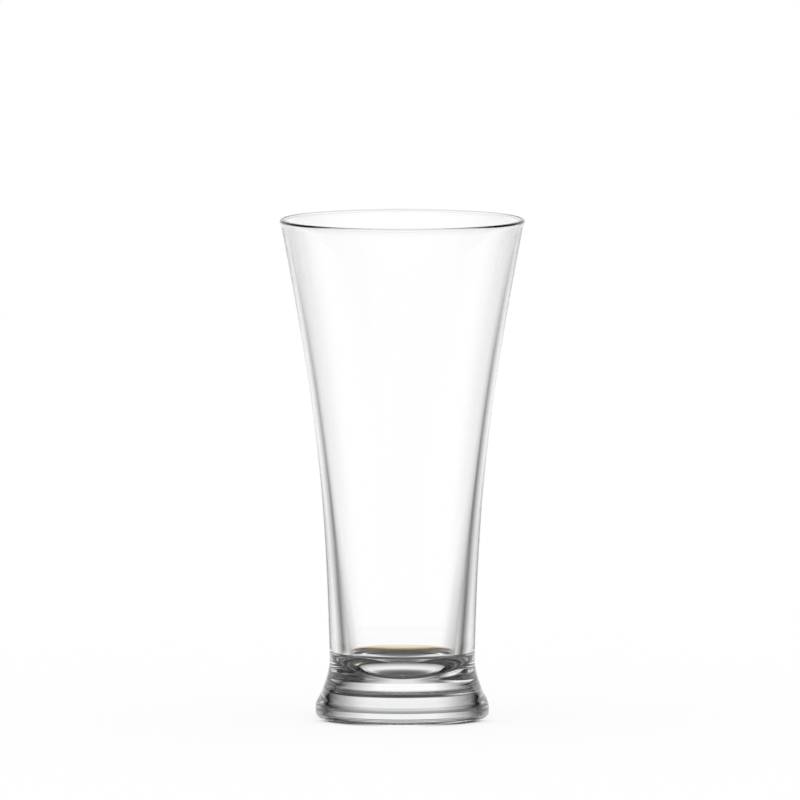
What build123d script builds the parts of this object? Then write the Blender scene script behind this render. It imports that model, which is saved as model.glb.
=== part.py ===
"""Pilsner glass: a trumpet-flared bowl welded to a heavy flared foot."""

import os
from math import asin, atan2, degrees

from build123d import *

# Overall sizes in millimetres, +Z up, origin on the table under the axis
height = 160.0
rim_diameter = 78.5
waist_diameter = 46.5
foot_diameter = 55.6

# Weld: the flat disc where bowl and foot are joined, and the flare that crosses it, with the share
# of its length over which each half keeps to its end directions
foot_height = 8.4
weld_diameter = 51.8
flare_angle = 23.0
flare_reach = 0.35

# Heights above the weld: the waist and the glass under the cavity
waist_rise = 10.8
bowl_bottom = 2.8

# Lip: a fire-polished bead that stands a little proud of the wall
lip_thickness = 1.5
lip_overhang = 0.45
lip_height = 1.8
lip_blend_radius = 2.7

# Outside of the bowl: two nearly straight runs that bend into each other
flare_length = 73.7
bend_diameter = 50.0
bend_sharpness = 1.6

# Inside of the bowl: thickness of the wall at the mouth, at the bend and above the cup
wall_at_mouth = 1.4
wall_at_bend = 2.7
wall_at_cup = 6.1
inner_bend_rise = 24.6
inner_bend_sharpness = 2.0

# Cup: the rounded bottom of the cavity, left by the plunger
cup_depth = 9.4
cup_blend_radius = 2.5

# Foot: upright edge, rounded below, and a standing ring around a shallow hollow
edge_height = 3.4
edge_radius = 2.0
ring_width = 1.9
hollow_depth = 0.9
hollow_flat_diameter = 38.0

# Heights and radii that follow from the sizes above
rim_radius = rim_diameter / 2
waist_radius = waist_diameter / 2
weld_radius = weld_diameter / 2
foot_radius = foot_diameter / 2
bend_radius = bend_diameter / 2
lip_radius = lip_thickness / 2
throat_height = height - lip_height
throat_radius = rim_radius - lip_overhang
mouth_radius = throat_radius - wall_at_mouth
bend_height = height - flare_length
inner_bend_height = bend_height + inner_bend_rise
waist_height = foot_height + waist_rise
cavity_bottom = foot_height + bowl_bottom
cup_height = cavity_bottom + cup_depth
ring_outer_radius = foot_radius - edge_radius
ring_inner_radius = ring_outer_radius - ring_width
hollow_flat_radius = hollow_flat_diameter / 2

# Slopes of the two straight runs outside, and what they give inside
upper_slope = (throat_radius - bend_radius) / (throat_height - bend_height)
lower_slope = (bend_radius - waist_radius) / (bend_height - waist_height)
inner_bend_radius = bend_radius + upper_slope * inner_bend_rise - wall_at_bend
cup_radius = waist_radius + lower_slope * (cup_height - waist_height) - wall_at_cup

# Sphere of the cup, from its width and depth
cup_sphere = (cup_radius**2 + cup_depth**2) / (2 * cup_depth)

# Bead of the lip, and how far the lines that touch it from the wall lean outwards
bead_centre = Vector(rim_radius - lip_radius, height - lip_radius)
from_throat = bead_centre - Vector(throat_radius, throat_height)
from_mouth = bead_centre - Vector(mouth_radius, throat_height)
outer_lean = degrees(atan2(from_throat.X, from_throat.Y) + asin(lip_radius / from_throat.length))
inner_lean = degrees(atan2(from_mouth.X, from_mouth.Y) - asin(lip_radius / from_mouth.length))

# Directions in the section plane, where X is the radius and Y the height
up = Vector(0, 1)
up_flare = up.rotate(Axis.Z, flare_angle)


def flare(start, start_direction, end, end_direction):
    """Curve of the flare that leaves start and reaches end in the given directions."""
    reach = (end - start).length * flare_reach
    return Bezier(start, start + start_direction * reach, end - end_direction * reach, end)


# Bowl: the vessel on its solid bottom, with the upper half of the foot's flare
with BuildPart() as bowl:
    with BuildSketch(Plane.XZ) as section:
        with BuildLine():
            Line((0, foot_height), (weld_radius, foot_height))
            flare(Vector(weld_radius, foot_height), up_flare, Vector(waist_radius, waist_height), up)
            Bezier(
                (waist_radius, waist_height),
                (bend_radius, bend_height),
                (throat_radius, throat_height),
                weights=[1, bend_sharpness, 1],
            )
            bead = CenterArc(bead_centre, lip_radius, -outer_lean, 180 + outer_lean + inner_lean)
            Line((throat_radius, throat_height), bead @ 0)
            Line(bead @ 1, (mouth_radius, throat_height))
            Bezier(
                (mouth_radius, throat_height),
                (inner_bend_radius, inner_bend_height),
                (cup_radius, cup_height),
                weights=[1, inner_bend_sharpness, 1],
            )
            JernArc((0, cavity_bottom), (1, 0), cup_sphere, degrees(asin(cup_radius / cup_sphere)))
            Line((0, cavity_bottom), (0, foot_height))
        make_face()
        fillet(section.vertices().sort_by_distance((throat_radius, throat_height))[0], lip_blend_radius)
        fillet(section.vertices().sort_by_distance((mouth_radius, throat_height))[0], lip_blend_radius)
        fillet(section.vertices().sort_by_distance((cup_radius, cup_height))[0], cup_blend_radius)
    revolve(axis=Axis.Z)

# Foot: solid glass on a narrow ring, hollowed underneath so that it stands without rocking
with BuildPart() as foot:
    with BuildSketch(Plane.XZ):
        with BuildLine():
            Line((0, hollow_depth), (hollow_flat_radius, hollow_depth))
            Line((hollow_flat_radius, hollow_depth), (ring_inner_radius, 0))
            Line((ring_inner_radius, 0), (ring_outer_radius, 0))
            CenterArc((ring_outer_radius, edge_radius), edge_radius, 270, 90)
            Line((foot_radius, edge_radius), (foot_radius, edge_height))
            flare(Vector(foot_radius, edge_height), up, Vector(weld_radius, foot_height), up_flare)
            Line((weld_radius, foot_height), (0, foot_height))
            Line((0, foot_height), (0, hollow_depth))
        make_face()
    revolve(axis=Axis.Z)

os.makedirs("parts", exist_ok=True)
bowl.part.label = "bowl"
foot.part.label = "foot"
export_step(bowl.part, "parts/bowl.step")
export_step(foot.part, "parts/foot.step")
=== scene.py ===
import math
import bpy
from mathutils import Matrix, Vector


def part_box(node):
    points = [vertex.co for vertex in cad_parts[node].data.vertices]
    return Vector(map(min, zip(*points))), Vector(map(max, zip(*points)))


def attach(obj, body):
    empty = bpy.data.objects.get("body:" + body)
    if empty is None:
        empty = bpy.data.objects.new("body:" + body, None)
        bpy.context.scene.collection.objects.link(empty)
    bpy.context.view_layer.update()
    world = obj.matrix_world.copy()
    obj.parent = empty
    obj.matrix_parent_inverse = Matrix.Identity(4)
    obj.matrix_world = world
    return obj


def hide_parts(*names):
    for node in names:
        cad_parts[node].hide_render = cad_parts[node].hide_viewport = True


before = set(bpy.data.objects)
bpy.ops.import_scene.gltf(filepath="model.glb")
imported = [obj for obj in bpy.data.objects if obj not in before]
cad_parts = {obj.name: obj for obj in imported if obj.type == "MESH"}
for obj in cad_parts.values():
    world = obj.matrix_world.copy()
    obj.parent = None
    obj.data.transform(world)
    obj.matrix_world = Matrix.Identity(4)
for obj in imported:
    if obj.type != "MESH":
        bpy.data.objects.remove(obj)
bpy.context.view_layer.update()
print("frame loaded:", sorted(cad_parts))

scene = bpy.context.scene
scene.view_settings.view_transform = "Standard"

mm = 0.001


def hexColour(code):
    # sRGB hex to linear RGBA
    parts = [int(code[i:i + 2], 16) / 255 for i in (1, 3, 5)]
    return [c / 12.92 if c <= 0.04045 else ((c + 0.055) / 1.055) ** 2.4 for c in parts] + [1]


def addNode(tree, kind, inputs=None, **settings):
    # a node with its settings, and each input either set or linked
    node = tree.nodes.new(kind)
    for name, value in settings.items():
        setattr(node, name, value)
    for socket, value in (inputs or {}).items():
        if isinstance(value, bpy.types.NodeSocket):
            tree.links.new(value, node.inputs[socket])
        else:
            node.inputs[socket].default_value = value
    return node


def ringPoints(radius, height, sides):
    turns = [2 * math.pi * i / sides for i in range(sides)]
    return [(radius * math.cos(a), radius * math.sin(a), height) for a in turns]


# camera: a long lens from far off, looking slightly down into the mouth
photoCamera = {
    "distance": 11.5,  # metres
    "elevation": 5.08,  # degrees above the table
    "aim": (-0.00072, 0, 0.1019),  # metres, what stands in the middle of the picture
    "pictureWidth": 0.2559,  # metres that the picture spans there
    "sensorWidth": 36.0,
    "sightLimit": 100.0,  # metres
}


def placeCamera(c):
    data = bpy.data.cameras.new("photoCamera")
    camera = bpy.data.objects.new("photoCamera", data)
    scene.collection.objects.link(camera)
    lift = math.radians(c["elevation"])
    back = Vector((0, -math.cos(lift), math.sin(lift)))
    camera.location = Vector(c["aim"]) + back * c["distance"]
    camera.rotation_mode = "QUATERNION"
    camera.rotation_quaternion = (-back).to_track_quat("-Z", "Y")
    data.sensor_width = c["sensorWidth"]
    data.lens = c["sensorWidth"] * c["distance"] / c["pictureWidth"]
    data.clip_end = c["sightLimit"]
    scene.camera = camera


placeCamera(photoCamera)
print("camera placed")

# glass: one turned body, because bowl and foot are welded without a seam that light could see
# sizes in millimetres; height, rim, foot and weld come from the frame
glassShape = {
    "waistHeight": 19.2,
    "waistRadius": 23.25,
    "weldRadius": 25.9,
    "flareLean": 23.0,  # degrees inward where the flare crosses the weld
    "flareReach": 0.35,  # share of the flare's length that keeps to its end directions
    "bendHeight": 86.3,
    "bendRadius": 25.0,
    "bendSharpness": 1.6,
    "lipThickness": 1.5,
    "lipOverhang": 0.45,
    "lipHeight": 1.8,
    "lipSoftening": 1.0,
    "wallAtMouth": 1.4,
    "innerBendHeight": 110.9,
    "innerBendRadius": 27.02,
    "innerBendSharpness": 2.0,
    "cupHeight": 20.6,
    "cupRadius": 17.19,
    "cupDepth": 9.4,
    "cupSoftening": 0.6,
    "edgeHeight": 3.4,
    "edgeRadius": 2.0,
    "ringWidth": 1.9,
    "hollowDepth": 0.9,
    "hollowFlatRadius": 19.0,
    "hollowSoftening": 0.5,
    "weldDistance": 0.001,  # closes the seam and the two poles
    "hollowSteps": 8,  # from here on, steps along each run of the section and round the axis
    "ringSteps": 6,
    "edgeSteps": 16,
    "edgeWallSteps": 3,
    "footFlareSteps": 16,
    "waistFlareSteps": 20,
    "wallSteps": 90,
    "throatSteps": 6,
    "beadSteps": 30,
    "cupSteps": 36,
    "turnSteps": 240,
}


def straight(a, b, steps):
    return [a.lerp(b, i / steps) for i in range(steps + 1)]


def roundArc(centre, radius, start, end, steps):
    angles = [math.radians(start + (end - start) * i / steps) for i in range(steps + 1)]
    return [centre + Vector((math.cos(a), math.sin(a))) * radius for a in angles]


def conic(a, b, c, sharpness, steps):
    # two straight runs that bend into each other
    points = []
    for i in range(steps + 1):
        t = i / steps
        ka, kb, kc = (1 - t) ** 2, 2 * sharpness * t * (1 - t), t * t
        points.append((a * ka + b * kb + c * kc) / (ka + kb + kc))
    return points


def flare(a, aDirection, b, bDirection, reach, steps):
    # leaves a and reaches b in the given directions
    length = (b - a).length * reach
    inner, outer = a + aDirection * length, b - bDirection * length
    points = []
    for i in range(steps + 1):
        t = i / steps
        s = 1 - t
        points.append(a * s ** 3 + inner * 3 * s * s * t + outer * 3 * s * t * t + b * t ** 3)
    return points


def joinSoft(path, following, cut, steps=8):
    # carries the path on through a corner that is rounded over the cut length on each side
    corner = path[-1]
    start = [p for p in path if (p - corner).length > cut]
    rest = [p for p in following if (p - corner).length > cut]
    start.append(corner + (start[-1] - corner).normalized() * cut)
    rest.insert(0, corner + (rest[0] - corner).normalized() * cut)
    return start + conic(start[-1], corner, rest[0], 1, steps)[1:-1] + rest


def glassSection(g):
    # outline from the hollow under the foot, up the outside, over the lip and down to the cup
    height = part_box("bowl")[1].z / mm
    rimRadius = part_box("bowl")[1].x / mm
    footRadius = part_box("foot")[1].x / mm
    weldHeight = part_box("foot")[1].z / mm
    up = Vector((0, 1))
    lean = math.radians(g["flareLean"])
    upFlare = Vector((-math.sin(lean), math.cos(lean)))

    hollowTop = Vector((0, g["hollowDepth"]))
    hollowEdge = Vector((g["hollowFlatRadius"], g["hollowDepth"]))
    ringOuter = Vector((footRadius - g["edgeRadius"], 0))
    ringInner = ringOuter - Vector((g["ringWidth"], 0))
    edgeCentre = ringOuter + up * g["edgeRadius"]
    edge = Vector((footRadius, g["edgeHeight"]))
    weld = Vector((g["weldRadius"], weldHeight))
    waist = Vector((g["waistRadius"], g["waistHeight"]))
    bend = Vector((g["bendRadius"], g["bendHeight"]))
    throat = Vector((rimRadius - g["lipOverhang"], height - g["lipHeight"]))
    mouth = throat - Vector((g["wallAtMouth"], 0))
    innerBend = Vector((g["innerBendRadius"], g["innerBendHeight"]))
    cup = Vector((g["cupRadius"], g["cupHeight"]))

    # bead of the lip, between the two lines that touch it from the wall
    bead = g["lipThickness"] / 2
    beadCentre = Vector((rimRadius - bead, height - bead))
    fromThroat, fromMouth = beadCentre - throat, beadCentre - mouth
    outerLean = math.atan2(fromThroat.x, fromThroat.y) + math.asin(bead / fromThroat.length)
    innerLean = math.atan2(fromMouth.x, fromMouth.y) - math.asin(bead / fromMouth.length)
    lipStart, lipEnd = -math.degrees(outerLean), 180 + math.degrees(innerLean)
    lip = roundArc(beadCentre, bead, lipStart, lipEnd, g["beadSteps"])

    # sphere of the cup
    sphere = (g["cupRadius"] ** 2 + g["cupDepth"] ** 2) / (2 * g["cupDepth"])
    sphereCentre = Vector((0, g["cupHeight"] - g["cupDepth"] + sphere))
    cupAngle = math.degrees(math.asin(g["cupRadius"] / sphere))

    path = straight(hollowTop, hollowEdge, g["hollowSteps"])
    path = joinSoft(path, straight(hollowEdge, ringInner, g["hollowSteps"]), g["hollowSoftening"])
    path = joinSoft(path, straight(ringInner, ringOuter, g["ringSteps"]), g["hollowSoftening"])
    path += roundArc(edgeCentre, g["edgeRadius"], -90, 0, g["edgeSteps"])[1:]
    path += straight(path[-1], edge, g["edgeWallSteps"])[1:]
    path += flare(edge, up, weld, upFlare, g["flareReach"], g["footFlareSteps"])[1:]
    path += flare(weld, upFlare, waist, up, g["flareReach"], g["waistFlareSteps"])[1:]
    path += conic(waist, bend, throat, g["bendSharpness"], g["wallSteps"])[1:]
    path = joinSoft(path, straight(throat, lip[0], g["throatSteps"]) + lip[1:], g["lipSoftening"])
    path += straight(lip[-1], mouth, g["throatSteps"])[1:]
    inside = conic(mouth, innerBend, cup, g["innerBendSharpness"], g["wallSteps"])
    path = joinSoft(path, inside, g["lipSoftening"])
    bottom = roundArc(sphereCentre, sphere, cupAngle - 90, -90, g["cupSteps"])
    path = joinSoft(path, bottom, g["cupSoftening"])
    path[-1].x = 0
    return path


def turnTree():
    # turns a section in the XZ plane round the Z axis and welds the seam and the poles
    tree = bpy.data.node_groups.new("turnedGlass", "GeometryNodeTree")
    tree.interface.new_socket("Section", in_out="INPUT", socket_type="NodeSocketGeometry")
    tree.interface.new_socket("Turn Steps", in_out="INPUT", socket_type="NodeSocketInt")
    tree.interface.new_socket("Weld Distance", in_out="INPUT", socket_type="NodeSocketFloat")
    tree.interface.new_socket("Glass", in_out="INPUT", socket_type="NodeSocketMaterial")
    tree.interface.new_socket("Body", in_out="OUTPUT", socket_type="NodeSocketGeometry")
    given = addNode(tree, "NodeGroupInput").outputs

    # one row of the grid for each point of the section, one column for each step of the turn, and one
    # more column that closes the seam
    size = addNode(tree, "GeometryNodeAttributeDomainSize", {"Geometry": given["Section"]})
    steps = given["Turn Steps"]
    columns = addNode(tree, "FunctionNodeIntegerMath", {0: steps, 1: 1}, operation="ADD").outputs[0]
    grid = addNode(tree, "GeometryNodeMeshGrid", {
        "Vertices X": size.outputs["Point Count"],
        "Vertices Y": columns,
    })
    index = addNode(tree, "GeometryNodeInputIndex").outputs[0]
    row = addNode(tree, "FunctionNodeIntegerMath", {0: index, 1: columns}, operation="DIVIDE_FLOOR")
    column = addNode(tree, "FunctionNodeIntegerMath", {0: index, 1: columns}, operation="MODULO")

    turn = addNode(tree, "ShaderNodeMath", {0: column.outputs[0], 1: steps}, operation="DIVIDE")
    angle = addNode(tree, "ShaderNodeMath", {0: turn.outputs[0], 1: 2 * math.pi}, operation="MULTIPLY")
    point = addNode(tree, "GeometryNodeSampleIndex", {
        "Geometry": given["Section"],
        "Value": addNode(tree, "GeometryNodeInputPosition").outputs[0],
        "Index": row.outputs[0],
    }, data_type="FLOAT_VECTOR")
    place = addNode(tree, "ShaderNodeVectorRotate", {
        "Vector": point.outputs["Value"],
        "Angle": angle.outputs[0],
    }, rotation_type="Z_AXIS")
    body = addNode(tree, "GeometryNodeSetPosition", {
        "Geometry": grid.outputs["Mesh"],
        "Position": place.outputs[0],
    })
    body = addNode(tree, "GeometryNodeMergeByDistance", {
        "Geometry": body.outputs[0],
        "Distance": given["Weld Distance"],
    })
    body = addNode(tree, "GeometryNodeFlipFaces", {"Mesh": body.outputs[0]})
    body = addNode(tree, "GeometryNodeSetShadeSmooth", {"Geometry": body.outputs[0]})
    body = addNode(tree, "GeometryNodeRealizeInstances", {"Geometry": body.outputs[0]})
    body = addNode(tree, "GeometryNodeSetMaterial", {
        "Geometry": body.outputs[0],
        "Material": given["Glass"],
    })
    addNode(tree, "NodeGroupOutput", {"Body": body.outputs[0]})
    return tree


# clear soda-lime glass, pressed and fire-polished: no colour of its own, sharp reflections, and
# a faint green where the light goes a long way through it
glassLook = {
    "tint": "#ffffff",
    "ior": 1.52,
    "depthTint": "#dcf2e8",
    "depthDensity": 1.0,  # per metre
    "scuffHeight": 0.8,  # mm of the standing ring that rubs on tables
    "scuffGrain": 1.5,  # mm
    "scuffRoughness": 0.9,
}


def sodaLimeGlass(g):
    material = bpy.data.materials.new("sodaLimeGlass")
    material.use_nodes = True
    tree = material.node_tree
    shader = tree.nodes["Principled BSDF"]
    shader.inputs["Base Color"].default_value = hexColour(g["tint"])
    shader.inputs["Transmission Weight"].default_value = 1
    shader.inputs["IOR"].default_value = g["ior"]
    place = addNode(tree, "ShaderNodeTexCoord").outputs["Object"]
    height = addNode(tree, "ShaderNodeSeparateXYZ", {0: place}).outputs["Z"]
    nearTable = addNode(tree, "ShaderNodeMapRange", {
        "Value": height,
        "From Min": 0,
        "From Max": g["scuffHeight"] * mm,
        "To Min": g["scuffRoughness"],
        "To Max": 0,
    })
    grain = addNode(tree, "ShaderNodeTexNoise", {"Vector": place, "Scale": 1 / (g["scuffGrain"] * mm)})
    scuff = addNode(tree, "ShaderNodeMath", {
        0: nearTable.outputs[0],
        1: grain.outputs[0],
    }, operation="MULTIPLY")
    tree.links.new(scuff.outputs[0], shader.inputs["Roughness"])
    depth = addNode(tree, "ShaderNodeVolumeAbsorption", {
        "Color": hexColour(g["depthTint"]),
        "Density": g["depthDensity"],
    })
    tree.links.new(depth.outputs[0], tree.nodes["Material Output"].inputs["Volume"])
    return material


def turnGlass(g, material):
    section = bpy.data.meshes.new("glassSection")
    section.from_pydata([(p.x * mm, 0, p.y * mm) for p in glassSection(g)], [], [])
    holder = bpy.data.objects.new("glassSection", section)
    scene.collection.objects.link(holder)
    turning = holder.modifiers.new("turning", "NODES")
    tree = turnTree()
    turning.node_group = tree
    given = {"Turn Steps": g["turnSteps"], "Weld Distance": g["weldDistance"] * mm, "Glass": material}
    for name, value in given.items():
        turning[tree.interface.items_tree[name].identifier] = value
    evaluated = holder.evaluated_get(bpy.context.evaluated_depsgraph_get())
    glass = bpy.data.objects.new("pilsner_glass", bpy.data.meshes.new_from_object(evaluated))
    bpy.data.objects.remove(holder)
    scene.collection.objects.link(glass)
    return glass


glass = turnGlass(glassShape, sodaLimeGlass(glassLook))
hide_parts("bowl", "foot")
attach(glass, "root")
print("glass turned:", len(glass.data.polygons), "faces")

# floor: white card with a share of the glass's own shadow, and a painted contact shadow on each side
# in front of the foot, because the light comes from behind; the glass shows the studio instead of it
floorCard = {
    "radius": 1.5,  # metres
    "sides": 96,
    "gap": 0.03,  # mm under the standing ring
    "colour": "#ffffff",
    "shadowShare": 0.2,  # how much of the real shadow the camera sees
    "contactCentre": (0, -3.0, 0),  # mm
    "contactRadius": 26.2,  # mm
    "contactFalloff": 20.0,
    "contactGap": (4.0, 17.0),  # mm to both sides, where light through the foot fills the shadow
    "contactStart": (-8.0, -14.0),  # mm in front of the axis
}


def layFloor(f):
    card = bpy.data.meshes.new("floorCard")
    card.from_pydata(ringPoints(f["radius"], -f["gap"] * mm, f["sides"]), [], [range(f["sides"])])
    floor = bpy.data.objects.new("floorCard", card)
    scene.collection.objects.link(floor)
    floor.visible_glossy = False
    floor.visible_transmission = False
    material = bpy.data.materials.new("whiteCard")
    material.use_nodes = True
    tree = material.node_tree
    tree.nodes.remove(tree.nodes["Principled BSDF"])
    lit = addNode(tree, "ShaderNodeBsdfDiffuse", {"Color": hexColour(f["colour"])})

    place = addNode(tree, "ShaderNodeTexCoord").outputs["Object"]
    centre = [c * mm for c in f["contactCentre"]]
    distance = addNode(tree, "ShaderNodeVectorMath", {0: place, 1: centre}, operation="DISTANCE")
    near = addNode(tree, "ShaderNodeMath", {
        0: f["contactRadius"] * mm,
        1: distance.outputs["Value"],
    }, operation="DIVIDE")
    dark = addNode(tree, "ShaderNodeMath", {
        0: near.outputs[0],
        1: f["contactFalloff"],
    }, operation="POWER", use_clamp=True)
    spot = addNode(tree, "ShaderNodeSeparateXYZ", {0: place}).outputs
    aside = addNode(tree, "ShaderNodeMath", {0: spot["X"]}, operation="ABSOLUTE").outputs[0]
    for value, (start, end) in ((aside, f["contactGap"]), (spot["Y"], f["contactStart"])):
        fade = addNode(tree, "ShaderNodeMapRange", {
            "Value": value,
            "From Min": start * mm,
            "From Max": end * mm,
        })
        dark = addNode(tree, "ShaderNodeMath", {
            0: dark.outputs[0],
            1: fade.outputs[0],
        }, operation="MULTIPLY")
    level = addNode(tree, "ShaderNodeMath", {0: 1, 1: dark.outputs[0]}, operation="SUBTRACT")
    plain = addNode(tree, "ShaderNodeEmission", {
        "Color": hexColour(f["colour"]),
        "Strength": level.outputs[0],
    })

    seen = addNode(tree, "ShaderNodeLightPath").outputs["Is Camera Ray"]
    share = addNode(tree, "ShaderNodeMath", {0: seen, 1: 1 - f["shadowShare"]}, operation="MULTIPLY")
    mix = addNode(tree, "ShaderNodeMixShader", {
        0: share.outputs[0],
        1: lit.outputs[0],
        2: plain.outputs[0],
    })
    tree.links.new(mix.outputs[0], tree.nodes["Material Output"].inputs["Surface"])
    card.materials.append(material)


layFloor(floorCard)
print("floor laid")

# rings of card close to the foot that only the light through the glass meets; they paint light and shade
# into what the glass shows. The flare's card is a painted dark band and warms the light at its rim with a
# painted warm fringe, the edge's card paints two grey bands of shade, the collar stops the light between
# the two as a painted dark band, and the card under the foot glows as the table, with painted shade in the
# middle, a painted ring of light and painted shadow outside it. The stops give the colour along the radius
# of a flat card, or the height of an upright one. All in millimetres.
cardSides = 128
closeCards = {
    # painted dark band, with a painted warm fringe of light at its rim
    "flarePaintedShade": {
        "radii": (24.45, 41.5),
        "heights": (12.0, 12.0),
        "shader": "ShaderNodeBsdfTransparent",
        "stops": (
            (28.5, "#000000"), (29.6, "#6a4510"), (30.8, "#c9a660"), (32.1, "#ffeeb4"), (33.9, "#fff8dc"),
            (36.5, "#fffaf0"), (41.5, "#ffffff"),
        ),
    },
    # painted shade: two grey bands
    "edgePaintedShade": {
        "radii": (36.0, 36.0),
        "heights": (2.0, 6.2),
        "shader": "ShaderNodeBsdfTransparent",
        "stops": (
            (2.4, "#ffffff"), (2.55, "#949494"), (2.9, "#949494"), (3.05, "#ffffff"), (3.7, "#ffffff"),
            (4.2, "#a0a0a0"), (5.1, "#a0a0a0"), (5.5, "#dadada"), (6.0, "#ffffff"),
        ),
    },
    # painted dark band
    "collarPaintedShade": {
        "radii": (29.0, 29.0),
        "heights": (9.2, 11.8),
        "shader": "ShaderNodeBsdfTransparent",
        "stops": ((9.2, "#000000"), (11.8, "#000000")),
    },
    # glowing card: painted shade in the middle, a painted ring of light and painted shadow outside it
    "underFootPaintedLight": {
        "radii": (0.5, 33.0),
        "heights": (-0.02, -0.02),
        "shader": "ShaderNodeEmission",
        "stops": (
            (0.6, "#5a5a5a"), (4.0, "#4b4b4b"), (8.3, "#707070"), (9.8, "#959595"), (11.3, "#d1d1d1"),
            (12.7, "#f1f1f1"), (14.0, "#f9f9f9"), (16.6, "#dbdbdb"), (18.4, "#b8b8b8"), (19.8, "#8c8c8c"),
            (21.0, "#202020"),
        ),
    },
}


def cardStock(name, c):
    material = bpy.data.materials.new(name)
    material.use_nodes = True
    tree = material.node_tree
    tree.nodes.remove(tree.nodes["Principled BSDF"])
    place = addNode(tree, "ShaderNodeTexCoord").outputs["Object"]
    spot = addNode(tree, "ShaderNodeSeparateXYZ", {0: place}).outputs
    flat = addNode(tree, "ShaderNodeCombineXYZ", {"X": spot["X"], "Y": spot["Y"]}).outputs[0]
    radius = addNode(tree, "ShaderNodeVectorMath", {0: flat}, operation="LENGTH").outputs["Value"]
    upright = c["radii"][0] == c["radii"][1]
    start, end = c["stops"][0][0], c["stops"][-1][0]
    share = addNode(tree, "ShaderNodeMapRange", {
        "Value": spot["Z"] if upright else radius,
        "From Min": start * mm,
        "From Max": end * mm,
    })
    ramp = addNode(tree, "ShaderNodeValToRGB", {"Fac": share.outputs[0]})
    points = ramp.color_ramp.elements
    for stop, _ in c["stops"][1:-1]:
        points.new((stop - start) / (end - start))
    for point, (_, colour) in zip(points, c["stops"]):
        point.color = hexColour(colour)
    shader = addNode(tree, c["shader"], {"Color": ramp.outputs["Color"]})
    tree.links.new(shader.outputs[0], tree.nodes["Material Output"].inputs["Surface"])
    return material


def placeCard(name, c, sides):
    first, second = [ringPoints(r * mm, h * mm, sides) for r, h in zip(c["radii"], c["heights"])]
    following = list(range(1, sides)) + [0]
    shape = bpy.data.meshes.new(name)
    shape.from_pydata(first + second, [], [(i, i + sides, j + sides, j) for i, j in enumerate(following)])
    shape.materials.append(cardStock(name, c))
    card = bpy.data.objects.new(name, shape)
    scene.collection.objects.link(card)
    card.visible_camera = False
    card.visible_diffuse = False
    card.visible_glossy = False
    card.visible_shadow = False
    card.visible_volume_scatter = False


for name, card in closeCards.items():
    placeCard(name, card, cardSides)
print("cards placed")

# studio: a white room for the camera and the floor, and for the glass white panels between dark
# flags, which draw its edges. Angles in degrees; azimuth 0 is behind the glass as the camera sees it.
# Across, a panel fades from the first to the second distance from its middle. Its low and high edges
# fade from nothing to full.
throughPanels = {
    "behindHigh": {"azimuth": 0, "across": (16, 52), "low": (-5, 4), "high": (14, 11), "strength": 0.93},
    "behindMiddle": {"azimuth": -2, "across": (14, 44), "low": (-26, -22), "high": (3, -1)},
    "behindLow": {"azimuth": 0, "across": (6, 28), "low": (-66, -60), "high": (-20, -24), "strength": 0.82},
    "behindSteep": {"azimuth": 0, "across": (10, 40), "low": (-66, -60), "high": (-36, -40)},
    "facingLow": {"azimuth": 180, "across": (30, 70), "low": (-50, -40), "high": (6, -6)},
    "facingHigh": {"azimuth": 180, "across": (30, 70), "low": (4, 14), "high": (75, 60)},
    "facingWide": {"azimuth": 180, "across": (95, 125), "low": (-30, -20), "high": (30, 20)},
    "besideLow": {"azimuth": 180, "across": (112, 142), "low": (-32, -24), "high": (-6, -10)},
    "left": {"azimuth": -90, "across": (6, 20), "low": (-20, -12), "high": (14, 8)},
    "highLeft": {"azimuth": -45, "across": (10, 25), "low": (13, 19), "high": (50, 38)},
    "lowLeft": {"azimuth": -45, "across": (9, 22), "low": (-42, -34), "high": (-17, -21)},
    "lowRight": {"azimuth": 135, "across": (10, 26), "low": (-38, -27), "high": (-3, -8)},
}
mirroredPanels = {
    "behind": {"azimuth": 0, "across": (40, 110), "low": (-30, -20), "high": (14, 11)},
    "table": {"azimuth": 0, "across": (180, 181), "low": (-32, -24), "high": (-4, -8)},
    "overhead": {"azimuth": 0, "across": (15, 45), "low": (8, 16), "high": (92, 91)},
    "facingLow": {"azimuth": 180, "across": (60, 100), "low": (-42, -28), "high": (6, -6)},
    "facingHigh": {"azimuth": 180, "across": (60, 100), "low": (4, 14), "high": (46, 38)},
}
studioLevel = {
    "roomColour": "#ffffff",
    "room": 1.0,
    "flags": 0.02,  # the dark between the panels
}


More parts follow.
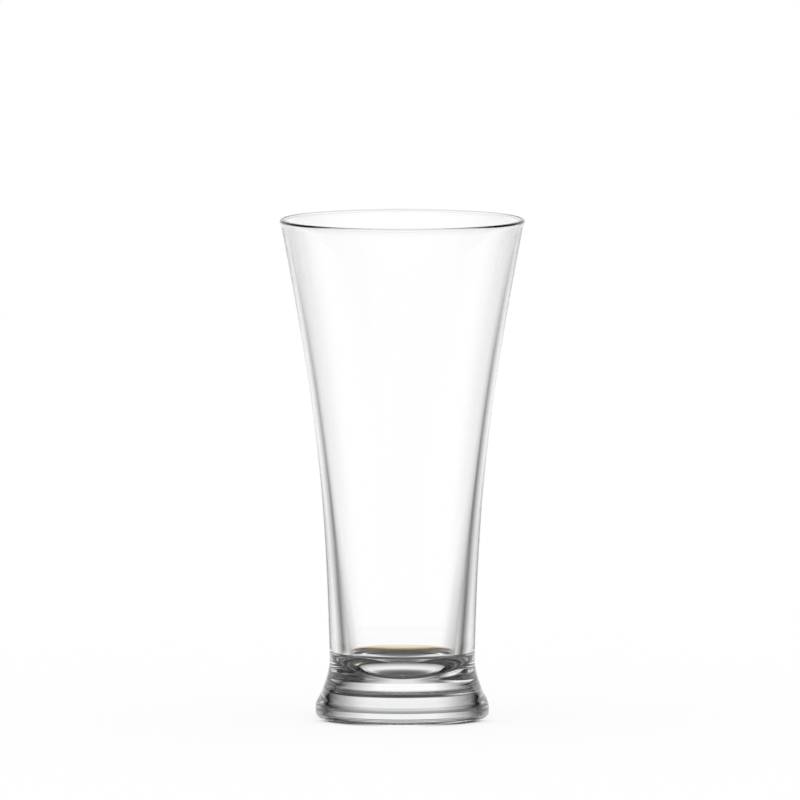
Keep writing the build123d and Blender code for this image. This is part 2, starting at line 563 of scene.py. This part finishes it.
def panelLight(tree, azimuth, height, panels, flags):
    # brightest panel in each direction
    light = flags
    for panel in panels.values():
        middle = math.radians(panel["azimuth"])
        turned = addNode(tree, "ShaderNodeMath", {0: azimuth, 1: middle}, operation="SUBTRACT")
        aside = addNode(tree, "ShaderNodeMath", {0: turned.outputs[0], 1: math.pi}, operation="PINGPONG")
        degrees = addNode(tree, "ShaderNodeMath", {0: aside.outputs[0]}, operation="DEGREES")
        lit = addNode(tree, "ShaderNodeMapRange", {
            "Value": degrees.outputs[0],
            "From Min": panel["across"][0],
            "From Max": panel["across"][1],
            "To Min": panel.get("strength", 1),
            "To Max": 0,
        })
        for start, end in (panel["low"], panel["high"]):
            fade = addNode(tree, "ShaderNodeMapRange", {
                "Value": height,
                "From Min": start,
                "From Max": end,
            })
            lit = addNode(tree, "ShaderNodeMath", {
                0: lit.outputs[0],
                1: fade.outputs[0],
            }, operation="MULTIPLY")
        brightest = addNode(tree, "ShaderNodeMath", {0: lit.outputs[0], 1: light}, operation="MAXIMUM")
        light = brightest.outputs[0]
    return light


def buildStudio(level):
    world = bpy.data.worlds.new("studio")
    scene.world = world
    world.use_nodes = True
    tree = world.node_tree
    tree.nodes.clear()
    ray = addNode(tree, "ShaderNodeTexCoord").outputs["Generated"]
    way = addNode(tree, "ShaderNodeSeparateXYZ", {0: ray}).outputs
    azimuth = addNode(tree, "ShaderNodeMath", {0: way["X"], 1: way["Y"]}, operation="ARCTAN2").outputs[0]
    rise = addNode(tree, "ShaderNodeMath", {0: way["Z"]}, operation="ARCSINE").outputs[0]
    height = addNode(tree, "ShaderNodeMath", {0: rise}, operation="DEGREES").outputs[0]
    room = addNode(tree, "ShaderNodeBackground", {
        "Color": hexColour(level["roomColour"]),
        "Strength": level["room"],
    })
    mirrored = addNode(tree, "ShaderNodeBackground", {
        "Color": panelLight(tree, azimuth, height, mirroredPanels, level["flags"]),
    })
    through = addNode(tree, "ShaderNodeBackground", {
        "Color": panelLight(tree, azimuth, height, throughPanels, level["flags"]),
    })
    path = addNode(tree, "ShaderNodeLightPath").outputs
    mix = addNode(tree, "ShaderNodeMixShader", {
        0: path["Is Glossy Ray"],
        1: room.outputs[0],
        2: mirrored.outputs[0],
    })
    mix = addNode(tree, "ShaderNodeMixShader", {
        0: path["Is Transmission Ray"],
        1: mix.outputs[0],
        2: through.outputs[0],
    })
    addNode(tree, "ShaderNodeOutputWorld", {"Surface": mix.outputs[0]})


buildStudio(studioLevel)
print("studio lit")
